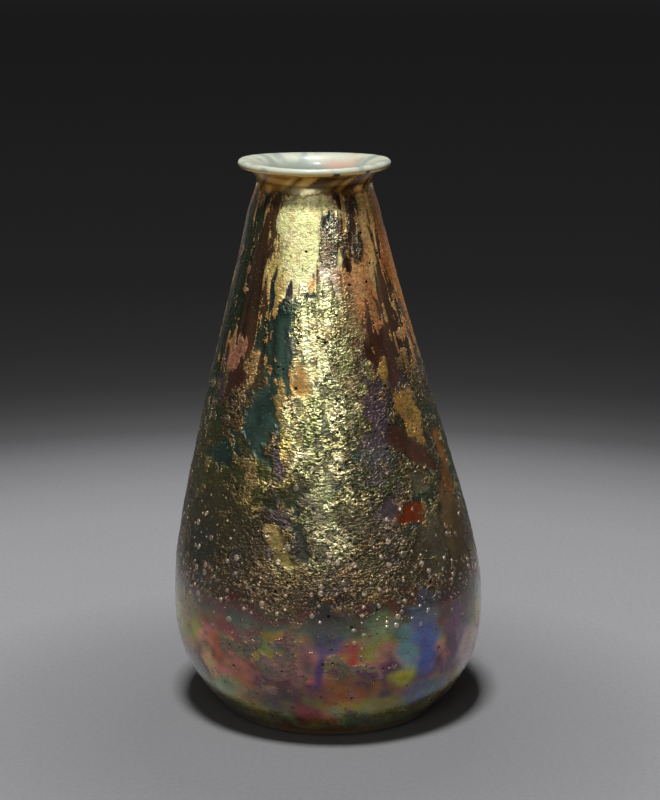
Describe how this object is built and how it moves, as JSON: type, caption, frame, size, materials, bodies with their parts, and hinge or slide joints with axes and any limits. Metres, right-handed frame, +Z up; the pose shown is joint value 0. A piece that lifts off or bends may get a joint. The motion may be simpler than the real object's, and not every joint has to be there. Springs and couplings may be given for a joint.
{
  "type": "glass vase",
  "caption": "Slender pear-shaped glass vase on a small flat foot, with a short neck, a thin turned-out lip and a pitted, iridescent metallic lustre.",
  "frame": {"origin": "on the resting plane, under the middle of the foot", "axes": "+Z up along the vase's height, -X towards the side that the upper body leans to, -Y towards the side the picture shows"},
  "size_m": [0.0931, 0.093, 0.1648],
  "materials": {
    "lustred_glass": "opaque amber glass under a granular gold, green, violet and copper metallic lustre, opal white inside and on the lip"
  },
  "bodies": {
    "root": {"vase": "lustred_glass"}
  },
  "joints": []
}
